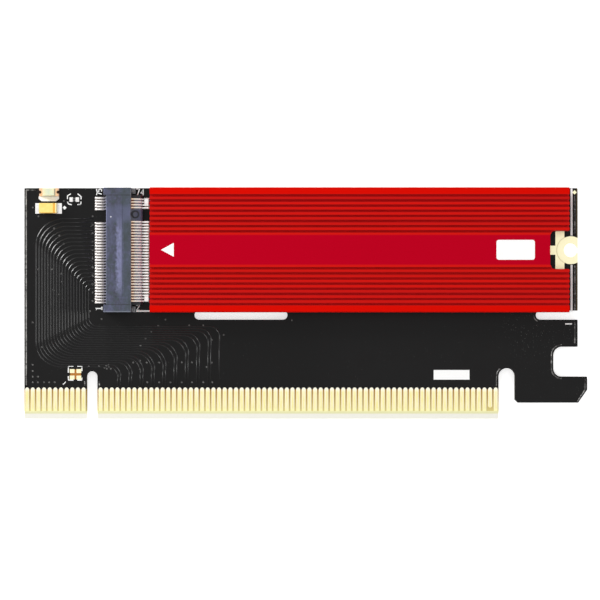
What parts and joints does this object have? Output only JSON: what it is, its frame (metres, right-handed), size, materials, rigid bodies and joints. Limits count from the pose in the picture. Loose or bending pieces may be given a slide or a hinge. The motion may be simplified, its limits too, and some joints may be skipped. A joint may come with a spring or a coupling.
{
  "type": "drive adapter card",
  "caption": "Full-width card-edge adapter board with an edge-mounted module socket, a plated screw hole for the module's end and a grooved heatsink bar over the module's place.",
  "frame": {"origin": "middle of the key notch on the lower edge of the contacts, at the board's back face", "axes": "the card lies on its back: +X along the contact edge towards the foot, +Y from the contact edge up the board, +Z out of the component side"},
  "size_m": [0.0997, 0.0409, 0.0057],
  "materials": {
    "black_laminate": "glossy black solder mask over glass-fibre laminate",
    "gold_plating": "hard gold plating",
    "bare_gold": "pale immersion gold",
    "solder": "bright solder",
    "socket_plastic": "slate-blue moulded plastic, satin",
    "contact_metal": "tinned spring alloy",
    "tinned_steel": "tinned sheet metal",
    "red_anodised": "red anodised aluminium, satin",
    "thermal_sheet": "soft grey-blue silicone sheet",
    "lamp_laminate": "pale laminate",
    "lamp_resin": "milky clear resin",
    "bright_gold": "gold plating",
    "capacitor_resin": "yellow moulded resin with an orange stripe",
    "resistor_ceramic": "black-coated ceramic"
  },
  "bodies": {
    "root": {"circuit_board": "black_laminate", "front_short_contacts": "gold_plating", "front_long_contacts": "gold_plating", "back_short_contacts": "gold_plating", "back_long_contacts": "gold_plating", "annular_ring": "bare_gold", "ground_pad": "bare_gold", "corner_pad": "bare_gold", "option_pads": "bare_gold", "lamp_pads": "bare_gold", "rear_solder_pads": "solder", "front_solder_pads": "solder", "hold_down_pads": "solder", "capacitor_pads": "solder", "resistor_pads": "solder", "socket_housing": "socket_plastic", "socket_upper_contacts": "contact_metal", "socket_lower_contacts": "contact_metal", "socket_hold_downs": "tinned_steel", "heatsink": "red_anodised", "thermal_pad": "thermal_sheet", "lamp_base": "lamp_laminate", "lamp_lens": "lamp_resin", "lamp_terminals": "bright_gold", "capacitor_case": "capacitor_resin", "capacitor_terminals": "tinned_steel", "resistor_core": "resistor_ceramic", "resistor_terminals": "solder"}
  },
  "joints": []
}
